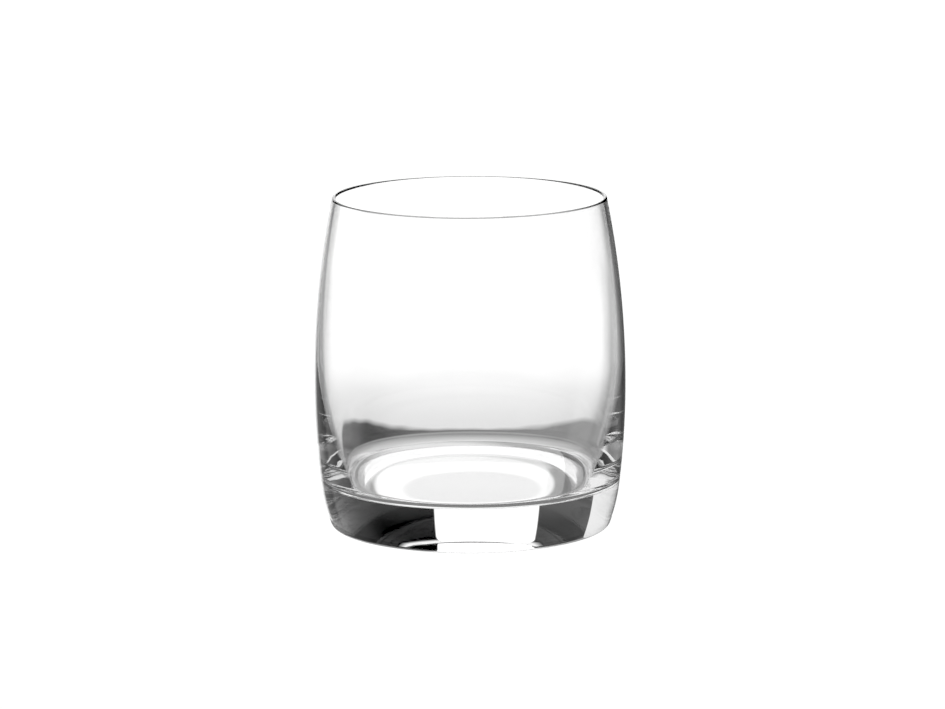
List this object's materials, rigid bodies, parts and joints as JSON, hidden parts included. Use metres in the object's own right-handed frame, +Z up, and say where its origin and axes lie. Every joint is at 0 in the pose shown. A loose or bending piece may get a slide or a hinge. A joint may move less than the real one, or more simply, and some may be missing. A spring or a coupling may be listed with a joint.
{
  "type": "whiskey tumbler",
  "caption": "Clear barrel-shaped glass tumbler with a thin wall that draws in to the rim and a thick solid foot, for drinks served on ice.",
  "frame": {"origin": "on the glass's axis, in the plane of the table that it stands on", "axes": "+Z up along the axis of the glass, out of its mouth; the glass is round, so X and Y are interchangeable"},
  "size_m": [0.0844, 0.0844, 0.09],
  "materials": {
    "clear_glass": "clear colourless crystal glass, fire-polished, with a faintly rubbed resting ring"
  },
  "bodies": {
    "root": {"tumbler": "clear_glass"}
  },
  "joints": []
}
